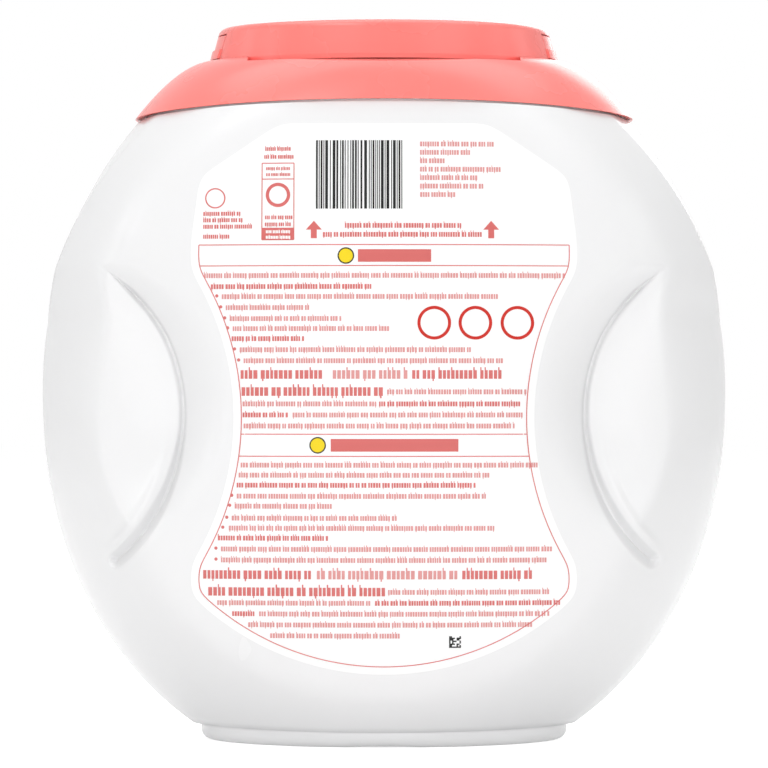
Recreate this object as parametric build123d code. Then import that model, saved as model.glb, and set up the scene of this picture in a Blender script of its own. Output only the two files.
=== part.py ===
from build123d import *
import math
import os

# Tub of laundry pods: a blow-moulded oval tub with four grip scoops, a label on its back,
# a two-tier closure (collar and hinged lid with two squeeze tabs) and the pods inside.
# Millimetres. +Z is up, the back with the label faces -Y and the origin is under the foot.

# Tub outline seen from the front
TUB_WIDTH = 216.0
WIDEST_HEIGHT = 110.0
UPPER_RISE = 121.7
LOWER_DROP = 123.0
UPPER_FULLNESS = 2.0
LOWER_FULLNESS = 2.15

# Tub depth: a shallow panel on each face, and flanks that round over to the sides
TUB_DEPTH = 134.0
PANEL_HEIGHT = 105.0
PANEL_ACROSS_RADIUS = 300.0
PANEL_UPRIGHT_RADIUS = 410.0
FLANK_DEPTH = 120.0
FLANK_PINCH = 22.0
FLANK_FULLNESS = 1.5
FLANK_PINCH_POWER = 16
PANEL_EDGE_BLEND = 5.0

# Narrow side strips of the shoulders, with a crisp edge to the flanks
SHOULDER_SPREAD = 5.0
SHOULDER_START = 130.0
SHOULDER_FULL = 150.0
STRIP_START = 148.0
STRIP_WIDTH = 7.0
STRIP_LEAST_WIDTH = 0.05
STRIP_DEPTH = 30.0
STRIP_EDGE_BLEND = 1.5
STRIP_ROUNDNESS = 1.4

# Tub walls, foot, shoulder deck and neck
TUB_WALL = 1.4
SHOULDER_WALL = 1.9
FOOT_HEIGHT = 5.0
FOOT_WIDTH = 115.4
FOOT_DEPTH = 79.0
FOOT_ROUND = 3.0
FOOT_RIM = 7.0
FOOT_ARCH_RISE = 0.35
FOOT_ARCH_SPAN = 24.0
DECK_HEIGHT = 204.5
DECK_ROUND = 1.2
NECK_TOP = 209.2
NECK_WIDTH = 94.0
NECK_DEPTH = 72.0
NECK_BEAD = 0.7
NECK_BEAD_HEIGHT = 1.4
NECK_BEAD_TOP = 207.6

# Grip scoops, one at each side of each face
SCOOP_RADIUS = 52.0
SCOOP_LEAN = 5.0
SCOOP_OFFSET = 114.0
SCOOP_HEIGHT = 103.0
SCOOP_FLOOR = 46.0
SCOOP_LIP = 60.5
SCOOP_FLARE = 18.0
SCOOP_FLARE_RISE = 5.5
SCOOP_FLOOR_ROUND = 5.0
SCOOP_LIP_ROUND = 9.0
GROOVE_RADIUS = 54.3
GROOVE_ASIDE = 3.3
GROOVE_BELOW = 4.2
GROOVE_FLOOR = 45.6
GROOVE_HALF_WIDTH = 1.5
GROOVE_SPREAD = 0.27
GROOVE_ROUND = 1.3
GROOVE_TILT = 10.7
GROOVE_LOW_ANGLE = 48.6
GROOVE_HIGH_ANGLE = 12.0

# Label on the back
LABEL_WIDTH = 116.8
LABEL_TOP = 190.7
LABEL_BOTTOM = 23.9
LABEL_TOP_FLAT = 63.0
LABEL_SHOULDER_DROP = 16.2
LABEL_SHOULDER_INSET = 2.6
LABEL_SIDE_DROP = 20.0
LABEL_WAIST = 90.6
LABEL_WAIST_HEIGHT = 101.6
LABEL_WAIST_RADIUS = 82.3
LABEL_SWEEP_RADIUS = 82.7
LABEL_ROUND = 12.0
LABEL_LOBE_ROUND = 6.0
LABEL_THICKNESS = 0.2
LABEL_GLUE_GAP = 0.05

# Collar: the wide lower tier of the closure
SKIRT_EDGE_HEIGHT = 195.0
SKIRT_WIDTH = 157.0
SKIRT_DEPTH = 117.4
SKIRT_BACK_RISE = 3.3
SKIRT_SQUARENESS = 2.4
SKIRT_CURVE = 0.62
RIM_HEIGHT = 213.05
RIM_WIDTH = 112.8
RIM_DEPTH = 91.2
RIM_SQUARENESS = 2.0
COLLAR_WALL = 2.0
COLLAR_GAP = 0.7
COLLAR_SEAT_GAP = 0.2
COLLAR_DECK_TOP = 211.25
COLLAR_DECK_THICKNESS = 1.8
REAR_CUT_WIDTH = 84.0
REAR_CUT_SLOPE = 10.0
CLIP_WALL = 1.5
CLIP_GAP = 1.0
CLIP_BITE = 0.7
CLIP_LENGTH = 4.6
SPOUT_WIDTH = 88.0
SPOUT_DEPTH = 66.0
SPOUT_WALL = 1.4
SPOUT_TOP = 216.0
SPOUT_BOTTOM = 206.0

# Lid: the narrow upper tier, hinged at the back
LID_BOTTOM = 211.65
LID_TOP = 223.8
LID_WIDTH = 109.2
LID_DEPTH = 87.6
LID_TOP_WIDTH = 103.6
LID_TOP_DEPTH = 82.4
LID_WALL = 1.6
LID_EDGE_ROUND = 2.6
LID_NEST_GAP = 0.6
PLUG_GAP = 0.6
PLUG_WALL = 1.3
PLUG_BOTTOM = 215.0

# Squeeze tabs in the lid's sides
TAB_SPAN = 28.0
TAB_TOP = 220.9
TAB_BOTTOM = 213.7
TAB_GAP = 0.5
TAB_THICKNESS = 1.6
TAB_LEDGE_TOP = 216.6
TAB_LEDGE = 0.6

# Pods: soft three-chamber pouches, stacked flat in the tub
POD_LENGTH = 42.0
POD_WIDTH = 35.0
POD_THICKNESS = 18.0
POD_EDGE = 5.0
POD_PITCH_GAP = 0.6
POD_LAYER_GAP = 0.4
POD_WALL_GAP = 0.4
POD_LAYERS = 7
POD_COLUMNS = 4

OVERRUN = 40.0
SEARCH_STEPS = 40

# Where the tub's sections lie, from the foot to the collar, and where the points of a
# quarter section lie, from the middle of the face to the strip's edge and on to the side
SECTION_SHARES = (0, 0.02, 0.046, 0.077, 0.118, 0.17, 0.23, 0.31, 0.4, 0.49, 0.58, 0.655,
                  0.706, 0.747, 0.8, 0.86, 0.92, 0.968, 1)
FACE_POINT_SHARES = (0, 0.14, 0.28, 0.42, 0.55, 0.68, 0.8, 0.9, 0.955, 1)
SIDE_POINT_SHARES = (0.1, 0.35, 0.68)
STRIP_EDGE_ANGLE = 79.0
STRIP_EDGE_TURN_ABOVE = 12.0
STRIP_EDGE_TURN_BELOW = 9.0
STRIP_EDGE_TURN_HEIGHT = 45.0
SKIN_SECTION_TOP = 199.0
CAVITY_SECTION_SHARES = (0, 0.03, 0.08, 0.15, 0.24, 0.35, 0.48, 0.6, 0.7, 0.78, 0.87, 0.94, 1)
SKIRT_SECTION_SHARES = (0, 0.15, 0.35, 0.55, 0.75, 0.88, 0.96, 1)
OVAL_POINTS = 32


def ease(share):
    """Smooth step from 0 to 1."""
    share = min(max(share, 0), 1)
    return share * share * (3 - 2 * share)


def soft_min(first, second, blend):
    """The lower of two values, rounded where they cross."""
    return (first + second - math.hypot(first - second, blend)) / 2


def half_width(z):
    """Half the tub's width at height z: the outline seen from the front."""
    if z >= WIDEST_HEIGHT:
        rise, fullness = (z - WIDEST_HEIGHT) / UPPER_RISE, UPPER_FULLNESS
    else:
        rise, fullness = (WIDEST_HEIGHT - z) / LOWER_DROP, LOWER_FULLNESS
    return TUB_WIDTH / 2 * (1 - rise**fullness) ** (1 / fullness)


def panel_depth(x, z):
    """The shallow doubly curved panel of a face."""
    across = x * x / (2 * PANEL_ACROSS_RADIUS)
    upright = (z - PANEL_HEIGHT) ** 2 / (2 * PANEL_UPRIGHT_RADIUS)
    return TUB_DEPTH / 2 - across - upright


def flank_depth(x, z):
    """The flanks that fall away from the panel to the outline all round."""
    spread = SHOULDER_SPREAD * ease((z - SHOULDER_START) / (SHOULDER_FULL - SHOULDER_START))
    across = abs(x) / (TUB_WIDTH / 2 + spread)
    if z >= WIDEST_HEIGHT:
        rise, fullness = (z - WIDEST_HEIGHT) / (UPPER_RISE + spread), UPPER_FULLNESS
    else:
        rise, fullness = (WIDEST_HEIGHT - z) / LOWER_DROP, LOWER_FULLNESS
    reach = (across**fullness + rise**fullness) ** (1 / fullness)
    if reach >= 1:
        return 0
    sideways = across / reach if reach else 0
    depth = FLANK_DEPTH - FLANK_PINCH * sideways**FLANK_PINCH_POWER
    return depth * (1 - reach**FLANK_FULLNESS) ** (1 / FLANK_FULLNESS)


def strip_depth(x, z):
    """The narrow side strip of the shoulders, wider towards the collar."""
    rise = (z - STRIP_START) / (SKIRT_EDGE_HEIGHT - STRIP_START)
    width = max(STRIP_WIDTH * rise, STRIP_LEAST_WIDTH)
    return STRIP_DEPTH * ((half_width(z) - abs(x)) / width) ** (1 / STRIP_ROUNDNESS)


def half_depth(x, z):
    """Half the tub's depth at (x, z), without the scoops."""
    if abs(x) >= half_width(z):
        return 0
    depth = soft_min(panel_depth(x, z), flank_depth(x, z), PANEL_EDGE_BLEND)
    if z > SHOULDER_START:
        depth = soft_min(depth, strip_depth(x, z), STRIP_EDGE_BLEND)
    return max(depth, 0)


def skin_radius(angle, z):
    """Distance from the tub's centre line to its skin, at an angle from the face's middle."""
    low, high = 0, TUB_WIDTH
    for _ in range(SEARCH_STEPS):
        middle = (low + high) / 2
        if middle * math.cos(angle) < half_depth(middle * math.sin(angle), z):
            low = middle
        else:
            high = middle
    return low


def section_angles(z):
    """Angles of a quarter section's points, drawn together at the strip's crisp edge."""
    above = ease((z - SHOULDER_FULL) / STRIP_EDGE_TURN_HEIGHT) * STRIP_EDGE_TURN_ABOVE
    below = ease((SHOULDER_FULL - z) / STRIP_EDGE_TURN_HEIGHT) * STRIP_EDGE_TURN_BELOW
    edge = math.radians(STRIP_EDGE_ANGLE - above - below)
    face = [share * edge for share in FACE_POINT_SHARES]
    side = [edge + share * (math.pi / 2 - edge) for share in SIDE_POINT_SHARES]
    return face + side + [math.pi / 2]


def mirrored_loop(quarter):
    """A closed loop of (x, y) points from a quarter that runs from the +Y end to the +X end."""
    right = quarter + [(x, -y) for x, y in reversed(quarter[:-1])]
    left = [(-x, y) for x, y in reversed(right[1:-1])]
    loop = right + left
    start = len(quarter) - 1
    return loop[start:] + loop[:start]


def spacing(loop):
    """Where the points lie along the loop, as shares of its length."""
    lengths = [math.dist(p, q) for p, q in zip(loop, loop[1:] + loop[:1])]
    total = sum(lengths)
    return [sum(lengths[:i]) / total for i in range(len(loop) + 1)]


def loop_wire(loop, z, shares):
    """A smooth closed wire through the loop's points at height z."""
    return Wire([Edge.make_spline([(x, y, z) for x, y in loop], periodic=True, parameters=shares)])


def skin_loop(z, inset):
    """The tub's section at height z, moved inwards."""
    quarter = []
    for angle in section_angles(z):
        radius = skin_radius(angle, z) - inset
        quarter.append((radius * math.sin(angle), radius * math.cos(angle)))
    return mirrored_loop(quarter)


def skin(inset, bottom, top, section_shares):
    """The tub's smooth form between two heights, moved inwards by inset."""
    shares = spacing(skin_loop(WIDEST_HEIGHT, 0))
    heights = [bottom + share * (top - bottom) for share in section_shares]
    return Solid.make_loft([loop_wire(skin_loop(z, inset), z, shares) for z in heights])


def oval_loop(width, depth, squareness):
    """A superellipse as a loop of points."""
    quarter = []
    for i in range(OVAL_POINTS // 4 + 1):
        angle = math.pi / 2 * i / (OVAL_POINTS // 4)
        x = width / 2 * math.sin(angle) ** (2 / squareness)
        y = depth / 2 * max(math.cos(angle), 0) ** (2 / squareness)
        quarter.append((x, y))
    quarter[-1] = (width / 2, 0)
    return mirrored_loop(quarter)


def oval_loft(sections):
    """A loft through ovals given as (z, width, depth, squareness)."""
    shares = spacing(oval_loop(1, 1, 2))
    wires = [loop_wire(oval_loop(w, d, n), z, shares) for z, w, d, n in sections]
    return Solid.make_loft(wires)


def oval_prism(width, depth, bottom, top):
    """An upright elliptic cylinder."""
    return Pos(0, 0, bottom) * extrude(Ellipse(width / 2, depth / 2), top - bottom)


def oval_ring(width, depth, wall, bottom, top):
    """An upright elliptic tube, with its outer size given."""
    outer = oval_prism(width, depth, bottom, top)
    return outer - oval_prism(width - 2 * wall, depth - 2 * wall, bottom - wall, top + wall)


def skirt_size(z, inset):
    """Width, depth and squareness of the collar's outside at height z, moved inwards."""
    rise = (z - SKIRT_EDGE_HEIGHT) / (RIM_HEIGHT - SKIRT_EDGE_HEIGHT)
    spread = max(1 - rise, 0) ** SKIRT_CURVE
    width = RIM_WIDTH + (SKIRT_WIDTH - RIM_WIDTH) * spread
    depth = RIM_DEPTH + (SKIRT_DEPTH - RIM_DEPTH) * spread
    squareness = RIM_SQUARENESS + (SKIRT_SQUARENESS - RIM_SQUARENESS) * spread
    return width - 2 * inset, depth - 2 * inset, squareness


def skirt_form(inset, bottom, top):
    """The collar's outer form between two heights, moved inwards."""
    heights = [bottom + (top - bottom) * share for share in SKIRT_SECTION_SHARES]
    return oval_loft([(z, *skirt_size(z, inset)) for z in heights])


def above_skirt_edge(drop):
    """Everything above the skirt's edge, which rises from the sides to the back and front."""
    half = SKIRT_WIDTH / 2
    radius = (half**2 + SKIRT_BACK_RISE**2) / (2 * SKIRT_BACK_RISE)
    middle = SKIRT_EDGE_HEIGHT + SKIRT_BACK_RISE - drop - radius
    barrel = Pos(0, 0, middle) * Rot(90, 0, 0) * Cylinder(radius, 2 * TUB_DEPTH)
    block_height = LID_TOP + OVERRUN - SKIRT_EDGE_HEIGHT + OVERRUN
    block = Box(2 * TUB_WIDTH, 2 * TUB_DEPTH, block_height)
    return Pos(0, 0, LID_TOP + OVERRUN - block_height / 2) * block - barrel


def mirrored_four(piece):
    """A piece and its mirror images at both sides and both faces."""
    pair = [piece, piece.mirror(Plane.YZ)]
    return pair + [each.mirror(Plane.XZ) for each in pair]


def groove_cutter(growth):
    """A bent channel with sloping walls and round ends, open outwards and deeper at its low end."""
    half, height = GROOVE_HALF_WIDTH + growth, OVERRUN + growth
    outline = FilletPolyline(
        (0, -growth), (half, -growth), (half + GROOVE_SPREAD * height, height - growth),
        radius=GROOVE_ROUND + growth / 2,
    )
    half_section = make_face(outline.edges() + Polyline(outline @ 1, (0, height - growth), (0, -growth)).edges())
    section = half_section + half_section.mirror(Plane.YZ)
    turn = GROOVE_LOW_ANGLE + GROOVE_HIGH_ANGLE
    groove = revolve(Pos(GROOVE_RADIUS, 0, 0) * section, Axis.Y, turn)
    end = Pos(GROOVE_RADIUS, 0, 0) * revolve(half_section, Axis.Y)
    groove += [end, Rot(0, turn, 0) * end]
    return Pos(0, GROOVE_FLOOR, 0) * Rot(-GROOVE_TILT, 0, 0) * Rot(0, -GROOVE_HIGH_ANGLE, 0) * groove


def scoop_cutters(growth):
    """What the grip scoops take out of the tub, grown by a wall for its inside."""
    foot = SCOOP_RADIUS + growth
    floor = SCOOP_FLOOR - growth
    reach = foot + SCOOP_LEAN + SCOOP_FLARE
    outline = FilletPolyline(
        (0, floor),
        (foot, floor),
        (foot + SCOOP_LEAN, SCOOP_LIP - growth),
        (reach, SCOOP_LIP - growth + SCOOP_FLARE_RISE),
        radius=(SCOOP_FLOOR_ROUND + growth, SCOOP_LIP_ROUND),
    )
    top = SCOOP_LIP + OVERRUN
    rest = Polyline((reach, SCOOP_LIP - growth + SCOOP_FLARE_RISE), (reach, top), (0, top), (0, floor))
    disc = revolve(make_face(outline.edges() + rest.edges()), Axis.Y)
    groove = Pos(-GROOVE_ASIDE, 0, -GROOVE_BELOW) * groove_cutter(growth)
    return mirrored_four(Pos(-SCOOP_OFFSET, 0, SCOOP_HEIGHT) * (disc + groove))


def tub():
    """The blow-moulded tub with its foot, scoops, shoulder deck and neck."""
    body = skin(0, FOOT_HEIGHT, SKIN_SECTION_TOP, SECTION_SHARES) - above_skirt_edge(COLLAR_GAP)
    for cutter in scoop_cutters(0):
        body -= cutter
    foot = oval_prism(FOOT_WIDTH, FOOT_DEPTH, 0, FOOT_HEIGHT + FOOT_RIM)
    foot = fillet(foot.edges().group_by(Axis.Z)[0], FOOT_ROUND)
    arch_radius = (FOOT_ARCH_SPAN**2 / 4 + FOOT_ARCH_RISE**2) / (2 * FOOT_ARCH_RISE)
    arch = Pos(0, 0, FOOT_ARCH_RISE - arch_radius) * Rot(90, 0, 0) * Cylinder(arch_radius, TUB_DEPTH)
    shoulder_inset = COLLAR_WALL + COLLAR_GAP
    shoulder_low = SKIRT_EDGE_HEIGHT - 2 * COLLAR_GAP
    shoulder = skirt_form(shoulder_inset, shoulder_low, DECK_HEIGHT)
    shoulder = fillet(shoulder.edges().group_by(Axis.Z)[-1], DECK_ROUND)
    neck = oval_prism(NECK_WIDTH, NECK_DEPTH, DECK_HEIGHT - TUB_WALL, NECK_TOP)
    bead_width, bead_depth = NECK_WIDTH + 2 * NECK_BEAD, NECK_DEPTH + 2 * NECK_BEAD
    neck += oval_prism(bead_width, bead_depth, NECK_BEAD_TOP - NECK_BEAD_HEIGHT, NECK_BEAD_TOP)
    outside = body + foot - arch + shoulder + neck

    cavity_top = SKIRT_EDGE_HEIGHT - COLLAR_GAP - TUB_WALL
    cavity = skin(TUB_WALL, FOOT_HEIGHT + TUB_WALL, cavity_top, CAVITY_SECTION_SHARES)
    for cutter in scoop_cutters(TUB_WALL):
        cavity -= cutter
    inner_inset = shoulder_inset + SHOULDER_WALL
    cavity += skirt_form(inner_inset, cavity_top - COLLAR_GAP, DECK_HEIGHT - TUB_WALL)
    bore_width, bore_depth = NECK_WIDTH - 2 * TUB_WALL, NECK_DEPTH - 2 * TUB_WALL
    cavity += oval_prism(bore_width, bore_depth, DECK_HEIGHT - 2 * TUB_WALL, NECK_TOP + TUB_WALL)
    push_up = oval_prism(FOOT_WIDTH - 2 * FOOT_RIM, FOOT_DEPTH - 2 * FOOT_RIM, -TUB_WALL, FOOT_HEIGHT)
    return outside - cavity - push_up


def label_outline():
    """The label's outline: two lobes and a waist between the scoops."""
    half = LABEL_WIDTH / 2
    shoulder = LABEL_TOP - LABEL_SHOULDER_DROP
    corners = [
        (LABEL_TOP_FLAT / 2, LABEL_TOP),
        (half - LABEL_SHOULDER_INSET, shoulder),
        (half, shoulder - LABEL_SIDE_DROP),
        (half, 0),
    ]
    sheet = make_face(Polyline(*corners, *[(-x, z) for x, z in reversed(corners)], close=True).edges())
    sheet = fillet(sheet.vertices().filter_by(lambda v: v.Y > shoulder - LABEL_ROUND), LABEL_ROUND)
    waist_centre = LABEL_WAIST / 2 + LABEL_WAIST_RADIUS
    for side in (-1, 1):
        sheet -= Pos(side * waist_centre, LABEL_WAIST_HEIGHT) * Circle(LABEL_WAIST_RADIUS)
    sweep_centre = LABEL_BOTTOM + LABEL_SWEEP_RADIUS
    keep = Pos(0, sweep_centre) * Circle(LABEL_SWEEP_RADIUS)
    keep += Pos(0, sweep_centre + LABEL_TOP / 2) * Rectangle(2 * LABEL_WIDTH, LABEL_TOP)
    sheet = sheet & keep
    lobes = sheet.vertices().filter_by(lambda v: abs(abs(v.X) - half) < LABEL_GLUE_GAP)
    lobes = lobes.filter_by(lambda v: v.Y < shoulder - LABEL_SIDE_DROP - LABEL_GLUE_GAP)
    return fillet(lobes, LABEL_LOBE_ROUND)


def back_label():
    """A thin sheet that follows the panel, just clear of it."""
    prism = extrude(Plane.XZ * label_outline(), TUB_DEPTH)
    outer = skin(-LABEL_GLUE_GAP - LABEL_THICKNESS, FOOT_HEIGHT, SKIN_SECTION_TOP, SECTION_SHARES)
    inner = skin(-LABEL_GLUE_GAP, FOOT_HEIGHT, SKIN_SECTION_TOP, SECTION_SHARES)
    return prism & outer - inner


def collar():
    """The wide lower tier: skirt, deck, clip ring round the neck and spout ring."""
    form = skirt_form(0, SKIRT_EDGE_HEIGHT - 2 * COLLAR_GAP, RIM_HEIGHT)
    under_deck = COLLAR_DECK_TOP - COLLAR_DECK_THICKNESS
    inside = skirt_form(COLLAR_WALL, SKIRT_EDGE_HEIGHT - 3 * COLLAR_GAP, under_deck)
    nest_width, nest_depth = LID_WIDTH + 2 * LID_NEST_GAP, LID_DEPTH + 2 * LID_NEST_GAP
    nest = oval_prism(nest_width, nest_depth, COLLAR_DECK_TOP, RIM_HEIGHT + OVERRUN)
    rear_block = Pos(0, -SKIRT_DEPTH / 4, OVERRUN / 2) * Box(REAR_CUT_WIDTH, SKIRT_DEPTH / 2, OVERRUN)
    rear_cut = Pos(0, -LID_DEPTH / 4, COLLAR_DECK_TOP) * rear_block
    rear_cut += Pos(0, -LID_DEPTH / 2, COLLAR_DECK_TOP) * Rot(REAR_CUT_SLOPE, 0, 0) * rear_block
    mouth = oval_prism(SPOUT_WIDTH, SPOUT_DEPTH, under_deck - OVERRUN, SPOUT_TOP + OVERRUN)
    cup = (form & above_skirt_edge(0)) - inside - nest - rear_cut - mouth
    clip_width = NECK_WIDTH + 2 * CLIP_GAP + 2 * CLIP_WALL
    clip_depth = NECK_DEPTH + 2 * CLIP_GAP + 2 * CLIP_WALL
    clip_low = under_deck - CLIP_LENGTH
    clip = oval_ring(clip_width, clip_depth, CLIP_WALL, clip_low, under_deck)
    hook_top = NECK_BEAD_TOP - NECK_BEAD_HEIGHT - COLLAR_SEAT_GAP
    clip += oval_ring(clip_width, clip_depth, CLIP_WALL + CLIP_BITE, clip_low, hook_top)
    spout = oval_ring(SPOUT_WIDTH + 2 * SPOUT_WALL, SPOUT_DEPTH + 2 * SPOUT_WALL, SPOUT_WALL,
                      SPOUT_BOTTOM, SPOUT_TOP)
    return cup + clip + spout


def oval_wire(z, width, depth):
    """An elliptic wire at height z."""
    return Pos(0, 0, z) * Ellipse(width / 2, depth / 2).wire()


def lid_form(inset, bottom, top):
    """The lid's outer form: upright inside the collar's rim and tapered above it."""
    taper = (LID_WIDTH - LID_TOP_WIDTH) / (LID_TOP - RIM_HEIGHT)
    taper_deep = (LID_DEPTH - LID_TOP_DEPTH) / (LID_TOP - RIM_HEIGHT)
    sections = []
    for z in (bottom, max(bottom, RIM_HEIGHT), top):
        rise = max(z - RIM_HEIGHT, 0)
        width = LID_WIDTH - taper * rise - 2 * inset
        depth = LID_DEPTH - taper_deep * rise - 2 * inset
        sections.append((z, width, depth))
    solid = None
    for low, high in zip(sections, sections[1:]):
        if high[0] > low[0]:
            span = Solid.make_loft([oval_wire(*low), oval_wire(*high)], ruled=True)
            solid = span if solid is None else solid + span
    return solid


def tab_window(side, gap):
    """The block of the lid's side that a tab fills, grown by a gap."""
    low, high = TAB_BOTTOM - gap, TAB_TOP + gap
    block = Box(LID_WIDTH - SPOUT_WIDTH, TAB_SPAN + 2 * gap, high - low)
    return Pos(side * LID_WIDTH / 2, 0, (low + high) / 2) * block


def lid():
    """The hinged cap with its sealing plug and the windows for the tabs."""
    cap = lid_form(0, LID_BOTTOM, LID_TOP)
    cap = fillet(cap.edges().group_by(Axis.Z)[-1], LID_EDGE_ROUND)
    cap -= lid_form(LID_WALL, LID_BOTTOM - LID_WALL, LID_TOP - LID_WALL)
    plug_width, plug_depth = SPOUT_WIDTH - 2 * PLUG_GAP, SPOUT_DEPTH - 2 * PLUG_GAP
    cap += oval_ring(plug_width, plug_depth, PLUG_WALL, PLUG_BOTTOM, LID_TOP - LID_WALL)
    for side in (-1, 1):
        cap -= tab_window(side, TAB_GAP)
    return cap


def squeeze_tab(side):
    """A curved pad with a ledge for the finger, hung at its top edge."""
    block = tab_window(side, 0)
    pad = lid_form(0, LID_BOTTOM, LID_TOP) - lid_form(TAB_THICKNESS, LID_BOTTOM - LID_WALL, LID_TOP)
    ledge = lid_form(-TAB_LEDGE, LID_BOTTOM, TAB_LEDGE_TOP)
    ledge -= lid_form(TAB_THICKNESS / 2, LID_BOTTOM - LID_WALL, LID_TOP)
    return (pad & block) + (ledge & block)


def pod():
    """A plain pillow for one pouch."""
    return chamfer(Box(POD_LENGTH, POD_WIDTH, POD_THICKNESS).edges(), POD_EDGE)


def pod_fits(x, y, z):
    """Whether the corners of a pod with this centre stay inside the tub's wall."""
    far_x, far_y, far_z = abs(x) + POD_LENGTH / 2, abs(y) + POD_WIDTH / 2, POD_THICKNESS / 2
    room = TUB_WALL + POD_WALL_GAP
    corners = [
        (far_x - POD_EDGE, far_y - POD_EDGE, far_z),
        (far_x - POD_EDGE, far_y, far_z - POD_EDGE),
        (far_x, far_y - POD_EDGE, far_z - POD_EDGE),
    ]
    for corner_x, corner_y, rise in corners:
        angle, reach = math.atan2(corner_x, corner_y), math.hypot(corner_x, corner_y)
        if reach > min(skin_radius(angle, z - rise), skin_radius(angle, z + rise)) - 2 * room:
            return False
    return far_y < SCOOP_FLOOR - room


def pod_places():
    """Centres of the pods: flat layers of one or two rows, as wide as the tub allows."""
    pitch_x, pitch_y = POD_LENGTH + POD_PITCH_GAP, POD_WIDTH + POD_PITCH_GAP
    bottom = FOOT_HEIGHT + TUB_WALL + POD_WALL_GAP
    places = []
    for layer in range(POD_LAYERS):
        z = bottom + POD_THICKNESS / 2 + layer * (POD_THICKNESS + POD_LAYER_GAP)
        best = []
        for columns in range(1, POD_COLUMNS + 1):
            for rows in (1, 2):
                end_x, end_y = (columns - 1) / 2 * pitch_x, (rows - 1) / 2 * pitch_y
                if columns * rows > len(best) and pod_fits(end_x, end_y, z):
                    best = [(i * pitch_x - end_x, j * pitch_y - end_y, z)
                            for i in range(columns) for j in range(rows)]
        places += best
    return places


def main():
    os.makedirs("parts", exist_ok=True)
    pieces = {"tub": tub(), "back_label": back_label(), "collar": collar(), "lid": lid()}
    pieces["tab_left"] = squeeze_tab(-1)
    pieces["tab_right"] = squeeze_tab(1)
    for number, (x, y, z) in enumerate(pod_places(), 1):
        pieces[f"pod_{number:02d}"] = Pos(x, y, z) * pod()
    for name, shape in pieces.items():
        export_step(shape, f"parts/{name}.step")


main()
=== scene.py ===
import math
import random

import bpy
import numpy as np
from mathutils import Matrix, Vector, noise
from mathutils.geometry import delaunay_2d_cdt


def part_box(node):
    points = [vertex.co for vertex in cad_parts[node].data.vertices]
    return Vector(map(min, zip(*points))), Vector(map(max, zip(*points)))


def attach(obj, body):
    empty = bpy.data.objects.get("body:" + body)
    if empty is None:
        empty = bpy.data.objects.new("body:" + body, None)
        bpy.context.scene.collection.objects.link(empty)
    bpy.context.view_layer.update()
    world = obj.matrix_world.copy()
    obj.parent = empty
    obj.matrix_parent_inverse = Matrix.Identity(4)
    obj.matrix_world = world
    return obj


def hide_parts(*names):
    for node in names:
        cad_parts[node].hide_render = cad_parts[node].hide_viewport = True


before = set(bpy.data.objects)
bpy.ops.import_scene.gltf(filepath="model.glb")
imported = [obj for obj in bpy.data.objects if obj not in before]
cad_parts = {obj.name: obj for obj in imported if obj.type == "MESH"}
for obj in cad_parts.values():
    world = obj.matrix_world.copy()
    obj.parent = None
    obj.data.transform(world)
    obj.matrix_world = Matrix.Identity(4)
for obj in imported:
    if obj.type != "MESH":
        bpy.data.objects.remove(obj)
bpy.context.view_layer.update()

MM = 0.001
BODY = "container"

# ---------------------------------------------------------------- camera
CAMERA_DISTANCE = 1.3
CAMERA_HEIGHT = 0.1118
FOCAL_PIXELS = 4109
FRAME_PIXELS = 768
SENSOR = 36.0

camera_data = bpy.data.cameras.new("camera")
camera_data.sensor_width = SENSOR
camera_data.lens = FOCAL_PIXELS / FRAME_PIXELS * SENSOR
camera_data.clip_start = 0.05
camera_data.clip_end = 50
camera = bpy.data.objects.new("camera", camera_data)
camera.location = (0, -CAMERA_DISTANCE, CAMERA_HEIGHT)
camera.rotation_euler = (math.pi / 2, 0, 0)
bpy.context.scene.collection.objects.link(camera)
bpy.context.scene.camera = camera

# ---------------------------------------------------------------- form of the tub, in mm
# x to the side, z up, and half the depth towards each face
TUB_HALF = 108.0
WIDEST = 110.0
UPPER_RISE, UPPER_POWER = 121.7, 2.0
LOWER_DROP, LOWER_POWER = 123.0, 2.15
PANEL_DEPTH, PANEL_MIDDLE, PANEL_BEND_X, PANEL_BEND_Z = 67, 105, 600, 820
FLANK_DEPTH, FLANK_SIDE_LOSS, FLANK_SIDE_POWER, FLANK_POWER = 120, 22, 16, 1.5
# above the scoops the flank opens by this much, from this height and over this rise
FLANK_SPREAD, SPREAD_FOOT, SPREAD_RISE = 5, 130, 20
STRIP_DEPTH, STRIP_POWER = 30, 1.4
STRIP_WIDTH, STRIP_FOOT, STRIP_RISE, STRIP_LEAST = 7, 148, 47, 0.05
PANEL_BLEND, STRIP_BLEND, STRIP_FROM = 5.0, 1.5, 130
# the fine raised line where the panel meets the flank, below this height
LINE_RISE, LINE_WIDTH, LINE_TOP, LINE_FADE = 0.28, 0.55, 52, 14
FOOT_HALF_X, FOOT_HALF_Y, FOOT_TOP, FOOT_ROUND, FOOT_RIM = 57.7, 39.5, 5.0, 3.0, 7.0
WALL = 1.4
SKIRT_EDGE, SKIRT_RISE, SKIRT_HALF_X, COLLAR_GAP = 195.0, 3.3, 78.5, 0.7


def ease(share):
    """A smooth step from 0 to 1."""
    share = np.clip(share, 0, 1)
    return share * share * (3 - 2 * share)


def soft_min(a, b, blend):
    """The lesser of two, rounded off where they cross."""
    return (a + b - np.hypot(a - b, blend)) / 2


def soft_max(a, b, blend):
    """The greater of two, rounded off where they cross."""
    return (a + b + np.hypot(a - b, blend)) / 2


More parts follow.
